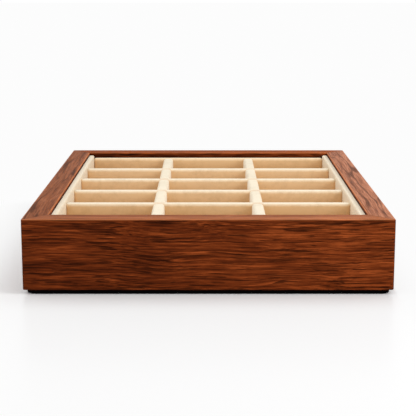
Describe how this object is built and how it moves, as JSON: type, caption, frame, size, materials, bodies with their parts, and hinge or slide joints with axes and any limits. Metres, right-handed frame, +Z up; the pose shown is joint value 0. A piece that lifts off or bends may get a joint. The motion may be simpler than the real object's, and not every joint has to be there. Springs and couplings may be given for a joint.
{
  "type": "wooden jewelry tray",
  "caption": "Open wooden jewelry tray: a mitred dark hardwood frame around a lift-out padded insert divided into a grid of velvet compartments.",
  "frame": {"origin": "centre of the underside, on the surface that the felt base rests on", "axes": "+Z up, +Y from the front rail to the back rail along the longer side, +X to the right"},
  "size_m": [0.24, 0.3, 0.0497],
  "materials": {
    "dark_hardwood": "satin",
    "spline_plywood": "matte",
    "panel_plywood": "matte",
    "staple_steel": "satin",
    "black_felt": "matte",
    "greyboard": "matte",
    "foam": "matte",
    "cream_velvet": "matte"
  },
  "bodies": {
    "tray": {"front_rail": "dark_hardwood", "back_rail": "dark_hardwood", "left_rail": "dark_hardwood", "right_rail": "dark_hardwood", "corner_spline_front_left": "spline_plywood", "corner_spline_front_right": "spline_plywood", "corner_spline_back_left": "spline_plywood", "corner_spline_back_right": "spline_plywood", "bottom_panel": "panel_plywood", "panel_staples": "staple_steel", "base_felt": "black_felt"},
    "insert": {"insert_floor_board": "greyboard", "floor_foam": "foam", "floor_cover": "cream_velvet", "front_liner_board": "greyboard", "front_liner_cover": "cream_velvet", "back_liner_board": "greyboard", "back_liner_cover": "cream_velvet", "left_liner_board": "greyboard", "left_liner_cover": "cream_velvet", "right_liner_board": "greyboard", "right_liner_cover": "cream_velvet", "row_divider_1_board": "greyboard", "row_divider_1_cover": "cream_velvet", "row_divider_2_board": "greyboard", "row_divider_2_cover": "cream_velvet", "row_divider_3_board": "greyboard", "row_divider_3_cover": "cream_velvet", "row_divider_4_board": "greyboard", "row_divider_4_cover": "cream_velvet", "column_divider_1_board": "greyboard", "column_divider_1_cover": "cream_velvet", "column_divider_2_board": "greyboard", "column_divider_2_cover": "cream_velvet"}
  },
  "joints": [
    {"name": "insert_lift", "type": "slide", "parent": "tray", "child": "insert", "axis": [0, 0, 1], "range_m": [0, 0.06]}
  ]
}
